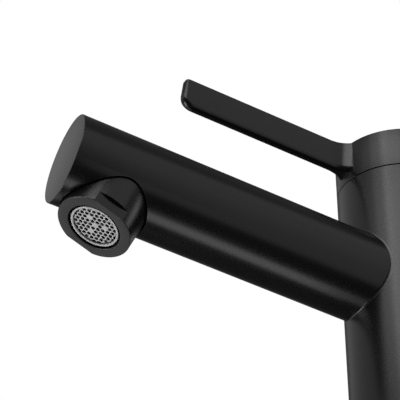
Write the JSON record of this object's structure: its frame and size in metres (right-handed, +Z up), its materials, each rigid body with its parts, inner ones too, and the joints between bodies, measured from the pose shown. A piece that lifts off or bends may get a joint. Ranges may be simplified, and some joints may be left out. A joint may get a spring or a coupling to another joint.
{
  "type": "bathroom mixer faucet",
  "caption": "Single-lever basin mixer: round upright body, round spout pitched slightly up with a tilted aerator nozzle, and a flat cap with a thin blade lever. Satin black.",
  "frame": {"origin": "where the body axis meets the deck that the mixer stands on", "axes": "+Z up along the body axis; the spout and the lever point along -Y; hot is at -X and cold at +X"},
  "size_m": [0.05, 0.1689, 0.2337],
  "materials": {
    "black_paint": "satin black paint",
    "brass": "machined",
    "steel": "machined",
    "grey_plastic": "moulded",
    "white_plastic": "moulded",
    "black_plastic": "moulded",
    "rubber": "moulded",
    "ceramic": "lapped"
  },
  "bodies": {
    "root": {"body_shell": "black_paint", "valve_core": "brass", "spout_tube": "black_paint", "outlet_seat": "brass", "water_pipe": "brass", "aerator_housing": "black_paint", "aerator_seal": "rubber", "aerator_cup": "grey_plastic", "aerator_grid": "grey_plastic", "flow_straightener": "white_plastic", "diffuser_plate": "white_plastic", "flow_regulator": "grey_plastic", "regulator_o_ring": "rubber", "filter_screen": "white_plastic", "cartridge_base": "white_plastic", "cartridge_housing": "white_plastic", "hot_inlet_seal": "rubber", "cold_inlet_seal": "rubber", "outlet_seal": "rubber", "fixed_disc": "ceramic", "cartridge_nut": "brass", "shroud_ring": "black_plastic", "base_insert": "brass", "base_seal": "rubber", "mounting_stud": "steel", "horseshoe_gasket": "rubber", "horseshoe_washer": "steel", "mounting_nut": "steel"},
    "carrier": {"spindle_carrier": "black_plastic", "pivot_pin": "steel"},
    "lever": {"lever_handle": "black_paint", "spindle": "steel", "set_screw": "steel", "index_plug": "black_plastic"},
    "disc": {"moving_disc": "ceramic", "disc_carrier": "black_plastic"}
  },
  "joints": [
    {"name": "lever_turn", "type": "hinge", "parent": "root", "child": "carrier", "pos_m": [0, 0, 0.146], "axis": [0, 0, 1], "range_deg": [-50, 50]},
    {"name": "lever_lift", "type": "hinge", "parent": "carrier", "child": "lever", "pos_m": [0, 0, 0.146], "axis": [-1, 0, 0], "range_deg": [0, 20]},
    {"name": "disc_slide", "type": "slide", "parent": "carrier", "child": "disc", "axis": [0, -1, 0], "range_m": [0, 0.005]}
  ],
  "couplings": [
    {"joint": "disc_slide", "follows": "lever_lift", "m_per_rad": 0.014305}
  ]
}
